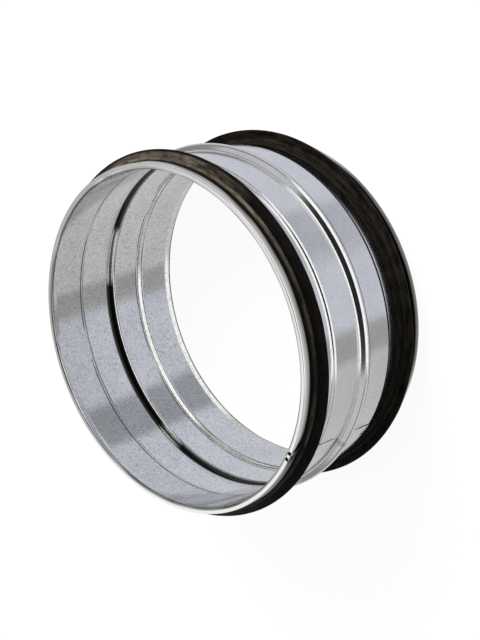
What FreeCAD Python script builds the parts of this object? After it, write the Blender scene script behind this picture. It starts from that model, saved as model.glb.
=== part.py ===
import FreeCAD, Part
import math
import os

# Duct connector: a sheet-steel ring that slides into two round ducts and seals in both with rubber lips.
# It stands on its lower end, with the duct axis along +Z and the origin at the middle of the lower end.
# Distances named from_end are measured along the axis from the nearer end. Millimetres and degrees.

# Ducts that it joins
duct_bore = 160.0
duct_clearance = 0.8

# Sheet-steel sleeve
sheet_thickness = 0.5
sleeve_length = 80.0
seat_depth = 1.6
seat_length = 19.5
step_length = 3.0

# Stop bead round the middle, where both ducts butt
bead_height = 3.0
bead_slope = 60.0
bead_crest_radius = 1.8
bead_crest_sides = 2

# Folded hem that grips each seal
hem_length = 4.0
hem_pocket = 1.1
hem_bend_radius = 0.9
hem_bend_sides = 2
hem_slit_width = 2.4
hem_slit_from_end = 1.2

# Welded lap where the two ends of the strip overlap
lap_width = 7.0
lap_angle = 215.0

# Rubber seal: foot and base
seal_clearance = 0.05
seal_length = 14.5
seal_foot_from_end = 1.0
seal_edge_thickness = 0.5
seal_base_thickness = 1.35
seal_shoulder_gap = 0.2

# Rubber seal: the low front lip and the tall rear lip, both leaning away from the end
front_lip_interference = 1.5
front_lip_root_thickness = 2.8
front_lip_lean = 2.8
rear_lip_interference = 4.0
rear_lip_root_thickness = 2.0
rear_lip_tip_thickness = 0.9
rear_lip_lean = 3.1

# Sizes that follow
body_radius = duct_bore / 2 - duct_clearance
body_bore_radius = body_radius - sheet_thickness
seat_radius = body_radius - seat_depth
seat_bore_radius = seat_radius - sheet_thickness
hem_inner_radius = seat_radius + hem_pocket
hem_radius = hem_inner_radius + sheet_thickness
middle = sleeve_length / 2
axis_origin = FreeCAD.Vector(0, 0, 0)
axis_up = FreeCAD.Vector(0, 0, 1)
full_turn = 360


def bend_points(before, corner, after, bend_radius, sides):
    """Corners of the flats that wrap a bend of the given radius; one corner leaves the bend sharp."""
    back = (before - corner).normalize()
    ahead = (after - corner).normalize()
    half_angle = back.getAngle(ahead) / 2
    bisector = (back + ahead).normalize()
    centre = corner + bisector * (bend_radius / math.sin(half_angle))
    across = (ahead - back).normalize()
    half_turn = math.pi / 2 - half_angle
    reach = bend_radius / math.cos(half_turn / sides)
    points = []
    for i in range(sides):
        angle = half_turn * ((2 * i + 1) / sides - 1)
        points.append(centre - bisector * (reach * math.cos(angle)) + across * (reach * math.sin(angle)))
    return points


def section_points(corners):
    """Points of a path through corners of (radius, height), or (radius, height, bend radius, sides) at a bend."""
    sharp = [FreeCAD.Vector(corner[0], 0, corner[1]) for corner in corners]
    points = []
    for i, corner in enumerate(corners):
        if len(corner) == 4:
            points += bend_points(sharp[i - 1], sharp[i], sharp[i + 1], corner[2], corner[3])
        else:
            points.append(sharp[i])
    return points


def with_mirror_image(lower_half):
    """Carries a path on past the middle, through the mirror images of its corners."""
    upper_half = [(corner[0], sleeve_length - corner[1], *corner[2:]) for corner in reversed(lower_half[:-1])]
    return lower_half + upper_half


def body_corners(start_from_end):
    """Bore side of the sheet from a seat over the step to the crest of the bead."""
    slope = math.radians(bead_slope)
    crest_bore_radius = bead_crest_radius - sheet_thickness
    apex_height = bead_height + crest_bore_radius * (1 / math.cos(slope) - 1)
    bead_half_width = apex_height / math.tan(slope)
    return [
        (seat_bore_radius, start_from_end),
        (seat_bore_radius, seat_length),
        (body_bore_radius, seat_length + step_length),
        (body_bore_radius, middle - bead_half_width),
        (body_bore_radius + apex_height, middle, crest_bore_radius, bead_crest_sides),
    ]


def sheet_ring(corners, thickness, turn):
    """Revolves a sheet whose bore side follows the corners."""
    bore_side = Part.makePolygon(section_points(corners))
    section = bore_side.makeOffset2D(-thickness, join=2, fill=True, openResult=True)
    return section.revolve(axis_origin, axis_up, turn)


def at_lap(shape, offset_angle=0):
    shape.rotate(axis_origin, axis_up, lap_angle + offset_angle)
    return shape


def make_hem_slit(height):
    """Gap in the folded-back strip, where its two ends meet at the lap."""
    reach = hem_pocket / 2 + 2 * sheet_thickness
    length = hem_length - hem_slit_from_end + sheet_thickness
    corner = FreeCAD.Vector(hem_inner_radius - hem_pocket / 2, -hem_slit_width / 2, height)
    return at_lap(Part.makeBox(reach, hem_slit_width, length, corner))


def make_sleeve():
    """Hem, fold, seat, step, body and bead as one folded sheet, with the welded lap and the split hems."""
    hem_and_fold = [
        (hem_radius, hem_length),
        (hem_radius, 0, hem_bend_radius, hem_bend_sides),
        (seat_bore_radius, 0, hem_bend_radius, hem_bend_sides),
    ]
    whole_path = with_mirror_image(hem_and_fold + body_corners(hem_length)[1:])
    ring = sheet_ring(whole_path, sheet_thickness, full_turn)
    lap_turn = math.degrees(lap_width / body_radius)
    lap_path = with_mirror_image(body_corners(seal_length + seal_shoulder_gap))
    lap = at_lap(sheet_ring(lap_path, 2 * sheet_thickness, lap_turn), -lap_turn / 2)
    lower_slit = make_hem_slit(hem_slit_from_end)
    upper_slit = make_hem_slit(sleeve_length - hem_length - sheet_thickness)
    return ring.fuse(lap).cut([lower_slit, upper_slit]).removeSplitter().Solids[0]


def make_lower_seal():
    """Rubber ring with its foot in the hem, its base on the seat and two lips that lean inwards."""
    base_bore = seat_radius + seal_clearance
    base_top = base_bore + seal_base_thickness
    foot_top = hem_inner_radius - seal_clearance
    front_tip = duct_bore / 2 + front_lip_interference
    rear_tip = duct_bore / 2 + rear_lip_interference
    front_root = hem_length + seal_shoulder_gap
    rear_root = front_root + front_lip_root_thickness
    rear_tip_from_end = rear_root + rear_lip_lean
    outline = [
        (base_bore, seal_foot_from_end),
        (base_bore, seal_length),
        (base_bore + seal_edge_thickness, seal_length),
        (base_top, rear_root + rear_lip_root_thickness),
        (rear_tip, rear_tip_from_end + rear_lip_tip_thickness),
        (rear_tip, rear_tip_from_end),
        (base_top, rear_root),
        (front_tip, front_root + front_lip_lean),
        (foot_top, front_root),
        (foot_top, seal_foot_from_end),
    ]
    section = Part.makePolygon(section_points(outline + outline[:1]))
    return Part.Face(section).revolve(axis_origin, axis_up, full_turn)


def make_upper_seal():
    """The same ring turned over, in the upper hem."""
    return make_lower_seal().mirror(FreeCAD.Vector(0, 0, middle), axis_up)


def main():
    os.makedirs("parts", exist_ok=True)
    pieces = {
        "sleeve": make_sleeve(),
        "lower_seal": make_lower_seal(),
        "upper_seal": make_upper_seal(),
    }
    for name, shape in pieces.items():
        shape.exportStep(f"parts/{name}.step")
        print(name, shape.ShapeType, len(shape.Solids), shape.isValid(), round(shape.Volume), shape.BoundBox)


main()
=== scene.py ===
import math
import bpy
import numpy as np
from mathutils import Matrix, Vector, noise


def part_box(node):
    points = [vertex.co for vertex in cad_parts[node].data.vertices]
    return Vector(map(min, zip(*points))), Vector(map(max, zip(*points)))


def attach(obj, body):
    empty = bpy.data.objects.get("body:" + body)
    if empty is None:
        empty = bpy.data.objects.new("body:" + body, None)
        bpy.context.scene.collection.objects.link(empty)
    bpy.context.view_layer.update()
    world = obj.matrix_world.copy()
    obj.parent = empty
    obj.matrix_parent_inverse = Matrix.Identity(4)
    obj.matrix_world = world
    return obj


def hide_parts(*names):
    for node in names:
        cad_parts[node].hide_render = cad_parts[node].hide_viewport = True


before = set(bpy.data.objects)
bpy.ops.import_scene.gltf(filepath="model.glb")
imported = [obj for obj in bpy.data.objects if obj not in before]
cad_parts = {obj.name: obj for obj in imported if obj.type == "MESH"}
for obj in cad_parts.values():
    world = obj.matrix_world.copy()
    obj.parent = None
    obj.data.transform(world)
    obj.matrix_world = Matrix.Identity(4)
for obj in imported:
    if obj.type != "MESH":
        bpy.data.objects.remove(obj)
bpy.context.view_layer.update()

# Duct connector: a galvanised sleeve with a stop bead and a rubber lip seal in the hem at each end

# Sizes are in millimetres and angles in degrees; this brings them to the metres of the meshes
MM = 0.001

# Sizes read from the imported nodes
sleeve_low, sleeve_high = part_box("sleeve")
seal_low, seal_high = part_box("lower_seal")
sleeve_length = (sleeve_high.z - sleeve_low.z) / MM
rear_lip_tip = seal_high.x / MM
seal_start = seal_low.z / MM
seal_end = seal_high.z / MM
middle = sleeve_length / 2

# Sheet of the sleeve, bore side unless named otherwise
sheet = 0.5
body_bore = 78.7
seat_bore = 77.1
step_middle = 21.0
lower_step_slope = 45.0
lower_step_bends = (1.9, 1.9)
upper_step_slope = 55.0
upper_step_bends = (1.9, 0.7)
bead_height = 3.0
bead_slope = 60.0
bead_crest_bend = 1.3
bead_foot_bend = 1.6
hem_nose = 79.5
hem_outside = 79.95
hem_length = 3.2
hem_bend = 0.45
hem_tolerance = 0.01
mouth_bend = 1.2
upper_end_inset = 0.35
lower_curl = 0.78
upper_curl = 0.35
curl_start = 1.3
curl_end = 3.7
curl_bend = 1.6
wave_height = 0.07
wave_count = 9.0
wave_length = 30.0

# Seam: the lapped end of the strip, the gap at its edge and the torn hem
seam_angle = 216.3
seam_skew = 2.2
lap_width = 7.0
lap_rise = 0.3
lap_gap = 0.35
lap_bead_gap = 3.5
lap_bead_fade = 2.0
lap_seal_gap = 1.0
lap_gap_depth = 0.15
tear_width = 5.2
tear_depth = 1.0
tear_lean = 5.0
tongue_width = 1.5
tongue_lift = 0.9

# Lip seal, distances named from_end measured from the nearer end
seal_bore = 77.65
seal_top = 79.0
seal_edge = 0.5
seal_corner_bend = 0.15
foot_top = 78.65
lip_root_from_end = 4.2
front_lip_tip = 81.5
front_tip_from_end = 7.0
front_tip_bend = 0.35
valley_bend = 0.5
rear_tip_from_end = 10.1
rear_tip_width = 0.9
rear_tip_bend = 0.35
rear_root_from_end = 9.0
rear_root_bend = 1.2
lip_wander = 0.45
wander_reach = 2.0
fine_wander = 0.4
fine_wander_reach = 5.0
upper_wander_seed = 5.0

# Marks on the surfaces: painted shade and dark lines on the metal, a painted highlight on the rubber lips,
# and places that are really dirty, dusty or stained
# Groove of the bead: painted shade, black in the groove and softer above it towards the sides
groove_half_width = 2.5
groove_fade = 0.35
groove_black_end = -0.2
groove_upper_shade = 0.75
groove_upper_shade_reach = 5.5
groove_side_easing = 0.05
groove_side_gain = 1.3
groove_side_start = 0.4
rim_width = 0.3
rim_fade = 0.6
# Seals: a brown painted highlight along the front lip's crest, stronger towards the lit side, and on the rear
# lip's face at that side; the backs thinly dusty
highlight_place = 0.72
highlight_reach = 0.65
highlight_fade = 0.5
highlight_patches = 3.5
highlight_patch_mean = 0.75
highlight_patch_swing = 1.2
highlight_patch_least = 0.15
lower_back_dust = 0.12
upper_back_dust = 0.01
lit_side = 330.0
lit_mean = 0.62
lit_swing = 0.5
rear_highlight_side = 335.0
rear_highlight_reach = 34.0
rear_highlight_fade = 28.0
rear_highlight_top = 83.3
rear_highlight_edge = 0.5
# Patches where the groove is left without its painted shade
unshaded_patches = [(52, 11.5, 0.95), (124, 6, 0.6)]
unshaded_fade = 3.0
unshaded_low = -2.3
unshaded_high = 0.9
seam_break = 0.22
seam_break_mean = 0.5
seam_break_swing = 3.0
seam_break_seed = (0.5, 0.5)
seam_dirt = 0.7
# Share that swings round the ring and varies the mouth lines and the painted shade on the hems
patchy_length = 9.0
patchy_mean = 0.6
patchy_swing = 1.2
patchy_seed = (3.5, 0.5)
# A darker line along the inner bend of each mouth
mouth_line_darkness = 0.65
mouth_line_least = 0.4
mouth_line_height = 1.5
mouth_line_width = 0.75
# A thin dark line along the edge of each step in the bore
step_lines = (22.7, 61.2)
step_line_width = 0.2
step_line_fade = 0.4
step_line_strength = 0.95
tear_dirt = 0.5
tear_dirt_reach = 8.0
# Painted shade on the hems, darker towards the seals; its strength also serves the stain beside the seam
hem_shade_and_stain = 0.97
hem_shade_least = 0.7
hem_shade_curve = 1.3
hem_stain_length = 54.0
hem_stain_fade = 6.0
hem_stain_curve = 0.2
# The bore above the upper step a little darker all over
upper_bore_darkening = 0.09

# Looks of the metal: noises are scale per metre, detail and roughness, and stops are place and colour
grain_noise = (1200, 2)
grain_bump = 0.1
grain_depth = 0.05
bore_zinc = [(0.32, (0.57, 0.575, 0.58)), (0.68, (0.84, 0.845, 0.85))]
outside_zinc = [(0.32, (0.66, 0.665, 0.67)), (0.68, (0.78, 0.785, 0.79))]
cloud_noise = (70, 3)
cloud_levels = [(0.3, (0.38, 0.38, 0.38)), (0.7, (0.61, 0.61, 0.61))]
cloud_share = 0.5
speck_noise = (640, 2, 0.6)
speck_range = (0.41, 0.33)
speck_level = 0.42
outside_specks = 0.12
bore_specks = 0.65
smudge_noise = (190, 2)
smudge_range = (0.5, 0.64)
smudge_level = 0.45
break_noise = (38, 1)
break_range = (0.36, 0.46)
# Grey of the thin dark lines along the steps
step_line_level = 0.06
# Near-white of the hems and mouth rims: zinc wear and a painted highlight
rim_highlight_and_wear_colour = (0.92, 0.92, 0.91)
# Dark of the painted shade and the dark lines, and of the dirty and stained places
shade_and_dirt_colour = (0.014, 0.014, 0.012)
zinc_roughness = 0.13
rim_roughness = 0.1

# Looks of the rubber, its noise stretched along the strip
streak_stretch = (0.14, 0.14, 1.0)
streak_noise = (1100, 4, 0.6)
streak_bump = 0.4
streak_depth = 0.2
rubber_black = [(0.35, (0.001, 0.001, 0.001)), (0.7, (0.004, 0.0032, 0.0026))]
# Brown of the painted highlight on the lips and of the dusty backs
highlight_and_dust_brown = [(0.34, (0.014, 0.011, 0.008)), (0.64, (0.085, 0.07, 0.052))]
rubber_roughness = 0.5
rubber_shine = 0.05

# Floor and lights
floor_half_side = 6000.0
floor_level = 0.9
floor_glow = 0.92
soft_level = 0.85
key_light_place = (600, -150, 500)
key_light_aim = (0, 0, 40)
key_light_size = (500, 500)
key_light_watts = 12

# Camera that took the view, with the sensor's long side upright
camera_eye = (0.0, -432.0, 455.4)
camera_aim = (-1.8, 0.0, 31.4)
camera_roll = 109.75
camera_lens = 73.03
camera_sensor = 36.0
camera_reach = 20000.0

# Room that the metal mirrors: levels against degrees up, at the sides and in windows of degrees round
neutral = (1.0, 1.0, 0.985)
pale_blue = (0.98, 0.99, 1.04)
bluish = (0.96, 0.98, 1.09)
low_levels = [(2, 0.72), (6, 0.3), (28, 0.3), (32, 0.67, pale_blue), (55, 0.66, pale_blue)]
side_levels = low_levels + [(58.5, 0.03)]
wide_levels = low_levels + [(60, 0.8, bluish)]
wide_window = [(-80, 1), (-76, 0), (76, 0), (80, 1)]
back_levels = [(2, 1.0), (30, 1.0), (34, 0.5), (42, 0.52), (45, 0.92), (54, 0.92), (60, 0.03)]
back_window = [(-165, 1), (-160, 0), (160, 0), (165, 1)]
bright_levels = [(2, 1.0), (54, 1.05), (60, 0.03)]
bright_window = [(-177, 0), (-175, 1), (-136, 1), (-130, 0)]
front_levels = [(-12, 0.7), (-9, 1.3), (51, 1.3), (54.5, 0.02)]
front_window = [(-56, 0), (-50, 1), (60, 1), (64, 0)]
room_zones = [
    (wide_window, wide_levels),
    (back_window, back_levels),
    (bright_window, bright_levels),
    (front_window, front_levels),
]

# Lower part of the room in zones of degrees up: bands of degrees round for far bore, near outside and floor
far_zone = [(-35.5, 1), (-33, 0)]
far_bands = [(-180, 0.68, neutral), (-120, 0.65, neutral), (-57, 0.62, neutral), (-54, 0.39, neutral),
             (-40, 0.41, neutral), (-34, 0.69, bluish), (23, 0.7, bluish), (28, 0.38, bluish),
             (54, 0.38, bluish), (58, 0.73, bluish), (120, 0.73, bluish), (180, 0.68, neutral)]
near_zone = [(-44.5, 1), (-43, 0)]
near_bands = [(-180, 0.68, neutral), (-120, 0.63, neutral), (-57, 0.61, neutral), (-53, 0.42, neutral),
              (-36, 0.44, neutral), (-31, 0.74, bluish), (10, 0.72, bluish), (24, 0.57, bluish),
              (52, 0.58, bluish), (58, 0.74, bluish), (120, 0.73, bluish), (180, 0.68, neutral)]
under_zone = [(-62, 1), (-57, 0)]
under_bands = [(-180, 0.25), (180, 0.25)]
wall_zones = [(far_zone, far_bands), (near_zone, near_bands), (under_zone, under_bands)]

# Fineness of the meshes
columns_round = 288
seam_column_step = 0.5
seam_reach = 8.0
edge_step = 0.03
arc_step = 12.0
sheet_step = 3.0
seal_step = 0.4
run_guard = 0.06
sharp_angle = 40.0


# Section paths

def turned(vector, angle):
    """A section vector turned anticlockwise by an angle in radians."""
    cosine = math.cos(angle)
    sine = math.sin(angle)
    return np.array([cosine * vector[0] - sine * vector[1], sine * vector[0] + cosine * vector[1]])


def bend_points(before, corner, after, bend):
    """Points and tangents along the arc that rounds one corner."""
    back = (corner - before) / np.linalg.norm(corner - before)
    ahead = (after - corner) / np.linalg.norm(after - corner)
    turn = math.atan2(back[0] * ahead[1] - back[1] * ahead[0], back @ ahead)
    start = corner - back * (bend * math.tan(abs(turn) / 2))
    centre = start + turned(back, math.copysign(math.pi / 2, turn)) * bend
    steps = max(2, math.ceil(abs(math.degrees(turn)) / arc_step))
    shares = [turn * k / steps for k in range(steps + 1)]
    return [(centre + turned(start - centre, share), turned(back, share)) for share in shares]


def run_points(start, end, step):
    """Points along a straight run, the first and last close to its ends so that it shades flat."""
    length = np.linalg.norm(end - start)
    if length < 4 * run_guard:
        return []
    tangent = (end - start) / length
    inner = length - 2 * run_guard
    steps = math.ceil(inner / step)
    return [(start + tangent * (run_guard + inner * k / steps), tangent) for k in range(steps + 1)]


def rounded_path(corners, closed, step):
    """Points and tangents along a path of (radius, height, bend) corners, a step apart on straight runs."""
    sharp = [np.array(corner[:2], float) for corner in corners]
    count = len(corners)
    bends = []
    for i, corner in enumerate(corners):
        if closed or 0 < i < count - 1:
            bends.append(bend_points(sharp[i - 1], sharp[i], sharp[(i + 1) % count], corner[2]))
        else:
            run = sharp[1] - sharp[0] if i == 0 else sharp[-1] - sharp[-2]
            bends.append([(sharp[i], run / np.linalg.norm(run))])
    path = list(bends[0])
    for bend in bends[1:]:
        path += run_points(path[-1][0], bend[0][0], step) + bend
    if closed:
        path += run_points(path[-1][0], path[0][0], step)
    return np.array([point for point, _ in path]), np.array([tangent for _, tangent in path])


def sleeve_half_corners(end_inset, curl, step_slope, step_bends):
    """Visible side of the sheet from the free edge of the lower hem to the crest of the bead."""
    step_reach = (body_bore - seat_bore) / math.tan(math.radians(step_slope)) / 2
    slope = math.radians(bead_slope)
    apex = bead_height + bead_crest_bend * (1 / math.cos(slope) - 1)
    half_width = apex / math.tan(slope)
    return [
        (hem_outside, hem_length, 0),
        (hem_nose, end_inset, hem_bend),
        (seat_bore - curl, end_inset, mouth_bend),
        (seat_bore - curl, curl_start + end_inset, curl_bend),
        (seat_bore, curl_end, curl_bend),
        (seat_bore, step_middle - step_reach, step_bends[0]),
        (body_bore, step_middle + step_reach, step_bends[1]),
        (body_bore, middle - half_width, bead_foot_bend),
        (body_bore + apex, middle, bead_crest_bend),
    ]


def sleeve_corners():
    """The whole section: the lower end is curled in more than the upper one."""
    lower = sleeve_half_corners(0, lower_curl, lower_step_slope, lower_step_bends)
    upper = sleeve_half_corners(upper_end_inset, upper_curl, upper_step_slope, upper_step_bends)
    return lower + [(radius, sleeve_length - height, bend) for radius, height, bend in reversed(upper[:-1])]


def seal_corners():
    """Closed outline of the lower seal: foot, base and two lips that lean away from the end."""
    return [
        (seal_bore, seal_start, seal_corner_bend),
        (seal_bore, seal_end, seal_corner_bend),
        (seal_bore + seal_edge, seal_end, seal_corner_bend),
        (seal_top, rear_root_from_end, rear_root_bend),
        (rear_lip_tip, rear_tip_from_end + rear_tip_width, rear_tip_bend),
        (rear_lip_tip, rear_tip_from_end, rear_tip_bend),
        (seal_top, front_tip_from_end, valley_bend),
        (front_lip_tip, front_tip_from_end, front_tip_bend),
        (foot_top, lip_root_from_end, seal_corner_bend),
        (foot_top, seal_start, seal_corner_bend),
    ]


# Meshes

def from_seam(angle):
    """Distance round the hem from the seam, in millimetres."""
    return math.radians((angle - seam_angle + 180) % 360 - 180) * hem_outside


def column_angles():
    """Angles of the columns round the ring, closer together at the seam and at its edges."""
    wide = [360.0 * i / columns_round for i in range(columns_round)]
    wide = [angle for angle in wide if abs(from_seam(angle)) > seam_reach + seam_column_step]
    edges = [0, lap_gap, tear_width / 2, tongue_width / 2, -tongue_width / 2, -tear_width / 2]
    steps = round(seam_reach / seam_column_step)
    even = [seam_column_step * k for k in range(-steps, steps + 1)]
    even = [along for along in even if min(abs(along - edge) for edge in edges) > 2 * edge_step]
    close = even + edges + [edge - edge_step for edge in edges]
    return np.array(sorted(wide + [seam_angle + math.degrees(along / hem_outside) for along in close]))


def sheet_quads(kept):
    """Faces of a thick ring of sheet over a grid of cells, walled along each edge of what is kept."""
    columns, rows = kept.shape[0], kept.shape[1] + 1
    other_side = columns * rows
    faces = []
    for i in range(columns):
        j = (i + 1) % columns
        for k in range(rows - 1):
            if not kept[i, k]:
                continue
            a, b, c, d = i * rows + k, i * rows + k + 1, j * rows + k + 1, j * rows + k
            faces.append((a, b, c, d))
            faces.append((d + other_side, c + other_side, b + other_side, a + other_side))
            open_edges = [
                (a, b, not kept[i - 1, k]),
                (b, c, k == rows - 2 or not kept[i, k + 1]),
                (c, d, not kept[j, k]),
                (d, a, k == 0 or not kept[i, k - 1]),
            ]
            faces += [(q, p, p + other_side, q + other_side) for p, q, is_open in open_edges if is_open]
    return faces


def ring_quads(columns, rows):
    """Faces of a ring whose closed section has the given number of points."""
    faces = []
    for i in range(columns):
        j = (i + 1) % columns
        for k in range(rows):
            m = (k + 1) % rows
            faces.append((i * rows + k, i * rows + m, j * rows + m, j * rows + k))
    return faces


def round_points(radii, heights, angles):
    """Points in metres from radii, heights and angles in degrees."""
    radians = np.radians(angles)
    points = np.stack([radii * np.cos(radians), radii * np.sin(radians), heights + 0 * radii], axis=-1)
    return points.reshape(-1, 3) * MM


def make_piece(name, points, faces, masks):
    """A smooth mesh piece of the points that its faces use, with named masks as attributes."""
    used, places = np.unique(np.array(faces), return_inverse=True)
    mesh = bpy.data.meshes.new(name)
    mesh.from_pydata(points[used].tolist(), [], places.reshape(-1, 4).tolist())
    mesh.update()
    mesh.polygons.foreach_set("use_smooth", [True] * len(mesh.polygons))
    mesh.set_sharp_from_angle(angle=math.radians(sharp_angle))
    for mask, values in masks.items():
        attribute = mesh.attributes.new(mask, "FLOAT", "POINT")
        attribute.data.foreach_set("value", np.asarray(values, np.float32).ravel()[used])
    piece = bpy.data.objects.new(name, mesh)
    bpy.context.scene.collection.objects.link(piece)
    return piece


def waviness(angle, height):
    """Slight unevenness of the rolled sheet, in millimetres."""
    turn = math.radians(angle)
    reach = wave_count / math.tau
    place = Vector((math.cos(turn) * reach, math.sin(turn) * reach, height / wave_length))
    return wave_height * noise.noise(place)


def patchiness(places, mean, swing, least=0.0):
    """A share for each place that swings about a mean, from the least one up to 1."""
    return np.clip([mean + swing * noise.noise(place) for place in places], least, 1)


def kept_cells(along, path, from_end):
    """Cells of the sheet that are there: all but those torn out of the hems beside the tongue."""
    next_along = np.roll(along, -1)
    by_seam = np.maximum(np.abs(along), np.abs(next_along)) < tear_width / 2 + edge_step / 2
    torn = by_seam & (np.abs(along + next_along) > tongue_width)
    inner_side = (path[:, 0] < seat_bore + sheet / 2) & (from_end > tear_depth)
    tear_rows = int(np.argmax(inner_side))
    kept = np.ones((len(along), len(path) - 1), bool)
    kept[torn, :tear_rows] = False
    kept[torn, -tear_rows:] = False
    return kept


def groove_shade(columns, from_middle):
    """Painted shade: black in the groove of the bead, softer above it at the sides, left out in patches."""
    above = from_middle > groove_black_end
    groove = np.clip((groove_half_width - np.abs(from_middle)) / groove_fade, 0, 1)
    groove = np.where(above, groove_upper_shade * groove, groove)
    # Softer painted shade above the groove, reaching towards the sides
    upper_shade = np.clip(1 - from_middle / groove_upper_shade_reach, 0, 1) * above * groove_upper_shade
    sideways = np.abs(np.sin(np.radians(columns - 90)))
    to_side = np.clip(sideways * groove_side_gain - groove_side_start, 0, 1)
    darkening = np.maximum(np.outer(1 - groove_side_easing * to_side, groove), np.outer(to_side, upper_shade))
    for angle, half_width, share in unshaded_patches:
        patch = np.clip((half_width - np.abs(columns - angle)) / unshaded_fade, 0, 1) * share
        darkening *= 1 - np.outer(patch, (from_middle > unshaded_low) & (from_middle < unshaded_high))
    return darkening


def end_darkening(columns, along, path, from_end, on_hem):
    """A darker line along each mouth, painted shade on the hems darker towards the seals, and the stain on
    the hems beside the seam.
    """
    patchy_places = [Vector((angle / patchy_length, *patchy_seed)) for angle in columns]
    patchy = patchiness(patchy_places, patchy_mean, patchy_swing)
    # A darker line along the inner bend of each mouth
    mouth = (path[:, 0] < seat_bore + mouth_line_width) & (from_end < mouth_line_height)
    darkening = np.outer(mouth_line_least + (1 - mouth_line_least) * patchy, mouth * mouth_line_darkness)
    # Painted shade on the hems, darker towards the seals
    down_hem = np.clip((from_end - hem_bend / 2) / (hem_length - hem_bend / 2), 0, 1)
    shade = down_hem ** hem_shade_curve * on_hem * hem_shade_and_stain
    darkening = np.maximum(darkening, np.outer(hem_shade_least + (1 - hem_shade_least) * patchy, shade))
    stain = np.where(along < 0, np.clip((along + hem_stain_length) / hem_stain_fade, 0, 1), 0)
    return np.maximum(darkening, np.outer(stain, down_hem ** hem_stain_curve * on_hem * hem_shade_and_stain))


def make_sleeve():
    """One folded sheet: hems, seats, steps, body and bead, with the lap along the seam and the torn hems."""
    path, tangents = rounded_path(sleeve_corners(), False, sheet_step)
    outward = np.stack([tangents[:, 1], -tangents[:, 0]], axis=-1)
    heights = path[:, 1]
    from_end = np.minimum(heights, sleeve_length - heights)
    on_hem = (path[:, 0] > hem_nose - hem_tolerance) & (from_end < hem_length + hem_tolerance)
    columns = column_angles()
    along = np.array([from_seam(angle) for angle in columns])
    lean = on_hem * tear_lean * (from_end - hem_bend) / (hem_length - hem_bend)
    angles = columns[:, None] + (seam_skew * (heights / middle - 1) + lean)[None]
    wave = np.array([[waviness(angle, height) for angle, height in zip(row, heights)] for row in angles])

    bore_radii = path[:, 0] + wave
    tongue = np.abs(along) < tongue_width / 2 + edge_step / 2
    bore_radii += np.outer(tongue, on_hem * tongue_lift * (from_end / hem_length) ** 2)
    from_middle = heights - middle
    off_bead = np.clip((np.abs(from_middle) - lap_bead_gap) / lap_bead_fade, 0, 1)
    between = (from_end > seal_end + lap_seal_gap) * off_bead
    lap = np.where(along < -edge_step / 2, np.clip(1 + along / lap_width, 0, 1), 0) * lap_rise
    gap = np.where((along > -edge_step / 2) & (along < lap_gap - edge_step / 2), lap_gap_depth, 0)
    thickness = sheet + np.outer(lap - gap, between)
    outer_radii = bore_radii + outward[:, 0] * thickness
    outer_heights = heights + outward[:, 1] * thickness

    # The bore above the upper step a little darker
    upper_bore_dark = upper_bore_darkening * (heights > sleeve_length - step_middle)
    darkening = np.maximum(groove_shade(columns, from_middle), upper_bore_dark)
    darkening = np.maximum(darkening, end_darkening(columns, along, path, from_end, on_hem))
    # Hems and mouth rims near-white: zinc wear and a painted highlight
    rim = np.clip(1 - (from_end - rim_width) / rim_fade, 0, 1)
    rim[on_hem] = 1
    near_seam = np.clip(1 - np.abs(along + lap_width / 2) / lap_width, 0, 1)
    in_gap = np.where((along > -edge_step / 2) & (along < lap_gap + edge_step / 2), 1, 0)
    break_places = [Vector((height * seam_break, *seam_break_seed)) for height in heights]
    broken = patchiness(break_places, seam_break_mean, seam_break_swing)
    by_tear = np.clip(1 - np.abs(along) / tear_dirt_reach, 0, 1) * tear_dirt
    every_row = np.ones(len(path))
    every_column = np.ones(len(columns))
    # Darkening mask: painted shade in the groove and on the hems, the dark mouth lines and the stain, and
    # dirty marks at the seam and the tear
    masks = {
        "shade_and_grime": [darkening + np.outer(by_tear, on_hem), np.outer(in_gap, between * broken * seam_dirt)],
        "rim": [np.outer(every_column, rim)] * 2,
        "bore_side": [np.outer(every_column, every_row), np.outer(every_column, 0 * every_row)],
        "lap": [np.outer(near_seam, every_row)] * 2,
    }
    points = np.concatenate([
        round_points(bore_radii, heights, angles),
        round_points(outer_radii, outer_heights, angles),
    ])
    kept = kept_cells(along, path, from_end)
    return make_piece("sleeve_sheet", points, sheet_quads(kept), masks)


def seal_highlight_and_dust(columns, path, back_dust):
    """Painted highlight along the crest of the front lip and on the rear lip at one side, and a thin dusty
    layer on the back.
    """
    radii, from_end = path[:, 0], path[:, 1]
    around = np.radians(columns)
    # Painted highlight: brown along the crest of the front lip
    face = np.array([front_lip_tip - foot_top, front_tip_from_end - lip_root_from_end])
    centre = np.array([foot_top, lip_root_from_end]) + face * highlight_place
    crest = np.clip(1 - (np.linalg.norm(path - centre, axis=1) - highlight_reach) / highlight_fade, 0, 1)
    back = np.where((from_end > rear_root_from_end) & (radii > seal_bore + seal_edge / 2), back_dust, 0)
    places = [Vector((math.cos(turn), math.sin(turn), 0.0)) * highlight_patches for turn in around]
    patches = patchiness(places, highlight_patch_mean, highlight_patch_swing, highlight_patch_least)
    # Painted highlight stronger towards the lit side
    patches *= np.clip(lit_mean + lit_swing * np.cos(around - math.radians(lit_side)), 0, 1)
    highlight_and_dust = np.maximum(np.outer(patches, crest), back[None])
    lean = (rear_tip_from_end - front_tip_from_end) / (rear_lip_tip - seal_top)
    in_front = from_end < front_tip_from_end + lean * (radii - seal_top) + rear_tip_width / 2
    on_rear_lip = in_front & (from_end > front_tip_from_end + valley_bend)
    # Painted highlight on the rear lip's face at the lit side
    lip_face = np.clip((rear_highlight_top - radii) / rear_highlight_edge, 0, 1) * on_rear_lip
    off_side = np.abs((columns - rear_highlight_side + 180) % 360 - 180)
    by_side = np.clip((rear_highlight_reach - off_side) / rear_highlight_fade, 0, 1)
    return np.maximum(highlight_and_dust, np.outer(patches * by_side, lip_face))


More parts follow.
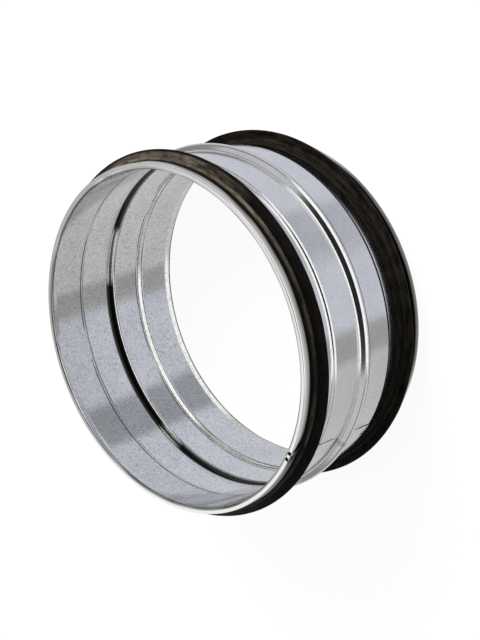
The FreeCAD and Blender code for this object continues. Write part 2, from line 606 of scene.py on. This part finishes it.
def make_seal(name, upside_down, back_dust):
    """Rubber ring of the seal's outline, its lips wandering a little, with a painted highlight on them and
    dusty in places.
    """
    path, _ = rounded_path(seal_corners(), True, seal_step)
    radii, from_end = path[:, 0], path[:, 1]
    columns = np.array([360.0 * i / columns_round for i in range(columns_round)])
    around = np.radians(columns)
    seed = upper_wander_seed if upside_down else 0.0
    places = [Vector((math.cos(turn) * wander_reach, math.sin(turn) * wander_reach, seed)) for turn in around]
    uneven = [noise.noise(place) + fine_wander * noise.noise(place * fine_wander_reach) for place in places]
    height_share = np.clip((radii - seal_top) / (rear_lip_tip - seal_top), 0, 1)
    all_from_end = from_end[None] + np.outer(np.array(uneven) * lip_wander, height_share)
    heights = sleeve_length - all_from_end if upside_down else all_from_end
    points = round_points(np.repeat(radii[None], columns_round, axis=0), heights, columns[:, None])
    faces = ring_quads(columns_round, len(path))
    if upside_down:
        faces = [face[::-1] for face in faces]
    return make_piece(name, points, faces, {"highlight_and_dust": seal_highlight_and_dust(columns, path, back_dust)})


# Materials

def new_material(name):
    """A material with its nodes, links and main shader."""
    material = bpy.data.materials.new(name)
    material.use_nodes = True
    nodes = material.node_tree.nodes
    return material, nodes, material.node_tree.links, nodes["Principled BSDF"]


def noise_node(nodes, links, place, scale, detail, roughness=0.5):
    """Noise over a place socket, as a socket."""
    node = nodes.new("ShaderNodeTexNoise")
    node.inputs["Scale"].default_value = scale
    node.inputs["Detail"].default_value = detail
    node.inputs["Roughness"].default_value = roughness
    links.new(place, node.inputs["Vector"])
    return node.outputs["Fac"]


def ramp_node(nodes, links, source, stops):
    """Colour along a source socket, from (position, colour) stops."""
    node = nodes.new("ShaderNodeValToRGB")
    ramp = node.color_ramp
    while len(ramp.elements) < len(stops):
        ramp.elements.new(0.5)
    for element, (position, colour) in zip(ramp.elements, stops):
        element.position = position
        element.color = (*colour, 1)
    links.new(source, node.inputs["Fac"])
    return node.outputs["Color"]


def grey(level):
    """A colour with the same level in each part."""
    return (level, level, level)


def mask_node(nodes, mask):
    """A mask of the mesh, as a socket."""
    node = nodes.new("ShaderNodeAttribute")
    node.attribute_name = mask
    return node.outputs["Fac"]


def mix_node(nodes, links, share, low, high, blend="MIX"):
    """Mixes two colours, each a colour or a socket, by a share that is a number or a socket."""
    node = nodes.new("ShaderNodeMix")
    node.data_type = "RGBA"
    node.blend_type = blend
    colour_inputs = [socket for socket in node.inputs if socket.type == "RGBA"]
    for socket, value in zip([node.inputs["Factor"]] + colour_inputs, (share, low, high)):
        if isinstance(value, tuple):
            socket.default_value = (*value, 1)
        elif isinstance(value, float):
            socket.default_value = value
        else:
            links.new(value, socket)
    return [socket for socket in node.outputs if socket.type == "RGBA"][0]


def math_node(nodes, links, operation, first, second=None):
    """One step of arithmetic on sockets or numbers, as a socket."""
    node = nodes.new("ShaderNodeMath")
    node.operation = operation
    for socket, value in zip(node.inputs, (first, second)):
        if isinstance(value, (int, float)):
            socket.default_value = value
        elif value is not None:
            links.new(value, socket)
    return node.outputs[0]


def range_node(nodes, links, source, low, high, low_to=0.0, high_to=1.0):
    """A socket whose range from low to high is brought to another range and held in it."""
    node = nodes.new("ShaderNodeMapRange")
    node.inputs["From Min"].default_value = low
    node.inputs["From Max"].default_value = high
    node.inputs["To Min"].default_value = low_to
    node.inputs["To Max"].default_value = high_to
    links.new(source, node.inputs["Value"])
    return node.outputs["Result"]


def add_bump(nodes, links, shader, height, strength, depth):
    """Fine relief on a shader from a height socket, its depth in millimetres."""
    bump = nodes.new("ShaderNodeBump")
    bump.inputs["Strength"].default_value = strength
    bump.inputs["Distance"].default_value = depth * MM
    links.new(height, bump.inputs["Height"])
    links.new(bump.outputs["Normal"], shader.inputs["Normal"])


def step_line_share(nodes, links, place, bore_side):
    """How much a thin dark line shows along each step in the bore, broken here and there."""
    split = nodes.new("ShaderNodeSeparateXYZ")
    links.new(place, split.inputs[0])
    stripes = []
    for line in step_lines:
        away = math_node(nodes, links, "SUBTRACT", split.outputs["Z"], line * MM)
        away = math_node(nodes, links, "ABSOLUTE", away)
        stripes.append(range_node(nodes, links, away, step_line_fade * MM, step_line_width * MM))
    both = math_node(nodes, links, "MAXIMUM", *stripes)
    breaks = noise_node(nodes, links, place, *break_noise)
    unbroken = range_node(nodes, links, breaks, *break_range, 0, step_line_strength)
    broken = math_node(nodes, links, "MULTIPLY", both, unbroken)
    return math_node(nodes, links, "MULTIPLY", broken, bore_side)


def make_galvanised():
    """Zinc with a fine grain, specks in the bore, smudges on the lap, a near-white rim that is zinc wear and
    a painted highlight, and darkening that is partly painted shade, partly dirty marks and stains.
    """
    material, nodes, links, shader = new_material("galvanised_steel")
    place = nodes.new("ShaderNodeTexCoord").outputs["Object"]
    grain = noise_node(nodes, links, place, *grain_noise)
    cloud = noise_node(nodes, links, place, *cloud_noise)
    specks = range_node(nodes, links, noise_node(nodes, links, place, *speck_noise), *speck_range)
    smudges = range_node(nodes, links, noise_node(nodes, links, place, *smudge_noise), *smudge_range)
    bore_side = mask_node(nodes, "bore_side")
    bare = ramp_node(nodes, links, grain, bore_zinc)
    smooth = ramp_node(nodes, links, grain, outside_zinc)
    zinc = mix_node(nodes, links, bore_side, smooth, bare)
    broad = ramp_node(nodes, links, cloud, cloud_levels)
    clouded = mix_node(nodes, links, cloud_share, zinc, broad, "OVERLAY")
    speck_strength = range_node(nodes, links, bore_side, 0, 1, outside_specks, bore_specks)
    speck_share = math_node(nodes, links, "MULTIPLY", specks, speck_strength)
    specked = mix_node(nodes, links, speck_share, clouded, grey(speck_level))
    smudge_share = math_node(nodes, links, "MULTIPLY", smudges, mask_node(nodes, "lap"))
    smudged = mix_node(nodes, links, smudge_share, specked, grey(smudge_level))
    # Thin dark lines along the steps
    line_share = step_line_share(nodes, links, place, bore_side)
    lined = mix_node(nodes, links, line_share, smudged, grey(step_line_level))
    rim = mask_node(nodes, "rim")
    # Rim brightened: zinc wear and a painted highlight
    rim_brightened = mix_node(nodes, links, rim, lined, rim_highlight_and_wear_colour)
    # Darkening: painted shade, dark lines, dirty marks and stains, as the mask says
    colour = mix_node(nodes, links, mask_node(nodes, "shade_and_grime"), rim_brightened, shade_and_dirt_colour)
    links.new(colour, shader.inputs["Base Color"])
    shader.inputs["Metallic"].default_value = 1.0
    roughness = range_node(nodes, links, rim, 0, 1, zinc_roughness, rim_roughness)
    links.new(roughness, shader.inputs["Roughness"])
    add_bump(nodes, links, shader, grain, grain_bump, grain_depth)
    return material


def make_rubber():
    """Black rubber with streaks along the strip, brown where the mask paints a highlight on the lips or a
    dusty back.
    """
    material, nodes, links, shader = new_material("seal_rubber")
    along_strip = nodes.new("ShaderNodeMapping")
    along_strip.inputs["Scale"].default_value = streak_stretch
    links.new(nodes.new("ShaderNodeTexCoord").outputs["Object"], along_strip.inputs["Vector"])
    streak = noise_node(nodes, links, along_strip.outputs["Vector"], *streak_noise)
    black = ramp_node(nodes, links, streak, rubber_black)
    brown = ramp_node(nodes, links, streak, highlight_and_dust_brown)
    # Brown where the mask paints a highlight on the lips or a dusty back
    colour = mix_node(nodes, links, mask_node(nodes, "highlight_and_dust"), black, brown)
    links.new(colour, shader.inputs["Base Color"])
    shader.inputs["Roughness"].default_value = rubber_roughness
    shader.inputs["Specular IOR Level"].default_value = rubber_shine
    add_bump(nodes, links, shader, streak, streak_bump, streak_depth)
    return material


# Stage

def make_floor():
    """Pale floor that the camera sees as white, with the object's shadow kept."""
    material, nodes, links, shader = new_material("floor_white")
    shader.inputs["Base Color"].default_value = (*grey(floor_level), 1)
    shader.inputs["Roughness"].default_value = 1.0
    glow = nodes.new("ShaderNodeEmission")
    path = nodes.new("ShaderNodeLightPath")
    seen = math_node(nodes, links, "MAXIMUM", path.outputs["Is Camera Ray"], path.outputs["Is Glossy Ray"])
    mix = nodes.new("ShaderNodeMixShader")
    links.new(math_node(nodes, links, "MULTIPLY", seen, floor_glow), mix.inputs["Fac"])
    links.new(shader.outputs[0], mix.inputs[1])
    links.new(glow.outputs[0], mix.inputs[2])
    links.new(mix.outputs[0], nodes["Material Output"].inputs["Surface"])
    mesh = bpy.data.meshes.new("floor")
    side = floor_half_side * MM
    corners = [(-side, -side, 0), (side, -side, 0), (side, side, 0), (-side, side, 0)]
    mesh.from_pydata(corners, [], [(0, 1, 2, 3)])
    mesh.materials.append(material)
    floor = bpy.data.objects.new("floor", mesh)
    floor.visible_glossy = False
    bpy.context.scene.collection.objects.link(floor)


def level_ramp(nodes, links, source, half_range, stops):
    """Level along an angle within the half range, from (angle, level) or (angle, level, tint) stops."""
    share = range_node(nodes, links, source, -half_range, half_range)
    colours = []
    for angle, level, *tint in stops:
        tint = tint[0] if tint else neutral
        colours.append(((angle / half_range + 1) / 2, tuple(level * part for part in tint)))
    return ramp_node(nodes, links, share, colours)


def make_world():
    """White for the camera, and the studio's lights and darks for what mirrors them."""
    world = bpy.data.worlds.new("studio")
    bpy.context.scene.world = world
    world.use_nodes = True
    nodes = world.node_tree.nodes
    links = world.node_tree.links
    split = nodes.new("ShaderNodeSeparateXYZ")
    links.new(nodes.new("ShaderNodeTexCoord").outputs["Generated"], split.inputs[0])
    degree = math.radians(1)
    upward = math_node(nodes, links, "ARCSINE", split.outputs["Z"])
    height = math_node(nodes, links, "DIVIDE", upward, degree)
    toward = math_node(nodes, links, "MULTIPLY", split.outputs["Y"], -1.0)
    sideward = math_node(nodes, links, "ARCTAN2", split.outputs["X"], toward)
    turn = math_node(nodes, links, "DIVIDE", sideward, degree)
    around = level_ramp(nodes, links, height, 90, side_levels)
    for window, levels in room_zones:
        share = level_ramp(nodes, links, turn, 180, window)
        around = mix_node(nodes, links, share, around, level_ramp(nodes, links, height, 90, levels))
    for zone, bands in wall_zones:
        share = level_ramp(nodes, links, height, 90, zone)
        around = mix_node(nodes, links, share, around, level_ramp(nodes, links, turn, 180, bands))
    path = nodes.new("ShaderNodeLightPath")
    soft = mix_node(nodes, links, path.outputs["Is Glossy Ray"], grey(soft_level), around)
    through = path.outputs["Is Transmission Ray"]
    seen = math_node(nodes, links, "MAXIMUM", path.outputs["Is Camera Ray"], through)
    links.new(mix_node(nodes, links, seen, soft, grey(1.0)), nodes["Background"].inputs["Color"])


def make_lamp(name, position, aim, size, watts):
    """A rectangular lamp that the metal doesn't mirror."""
    light = bpy.data.lights.new(name, "AREA")
    light.shape = "RECTANGLE"
    light.size = size[0] * MM
    light.size_y = size[1] * MM
    light.energy = watts
    lamp = bpy.data.objects.new(name, light)
    lamp.visible_glossy = False
    bpy.context.scene.collection.objects.link(lamp)
    lamp.location = Vector(position) * MM
    direction = Vector(aim) - Vector(position)
    lamp.rotation_euler = direction.to_track_quat("-Z", "Y").to_euler()


def make_camera():
    """The camera that took the view, turned about its line of sight."""
    data = bpy.data.cameras.new("camera")
    data.lens = camera_lens
    data.sensor_width = camera_sensor
    data.clip_end = camera_reach * MM
    camera = bpy.data.objects.new("camera", data)
    bpy.context.scene.collection.objects.link(camera)
    eye = Vector(camera_eye) * MM
    forward = (Vector(camera_aim) * MM - eye).normalized()
    level = forward.cross(Vector((0, 0, 1))).normalized()
    upright = level.cross(forward)
    roll = math.radians(camera_roll)
    up = upright * math.cos(roll) + level * math.sin(roll)
    right = forward.cross(up)
    facing = Matrix((right, up, -forward)).transposed().to_4x4()
    camera.matrix_world = Matrix.Translation(eye) @ facing
    bpy.context.scene.camera = camera


def main():
    """Builds the three pieces on their body, and the stage round them."""
    galvanised = make_galvanised()
    rubber = make_rubber()
    sleeve = make_sleeve()
    sleeve.data.materials.append(galvanised)
    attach(sleeve, "root")
    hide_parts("sleeve")
    seals = [("lower_seal", False, lower_back_dust), ("upper_seal", True, upper_back_dust)]
    for node, upside_down, back_dust in seals:
        seal = make_seal(node + "_rubber", upside_down, back_dust)
        seal.data.materials.append(rubber)
        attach(seal, "root")
        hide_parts(node)
    make_floor()
    make_world()
    make_lamp("key_light", key_light_place, key_light_aim, key_light_size, key_light_watts)
    make_camera()
    bpy.context.scene.view_settings.view_transform = "Standard"


main()
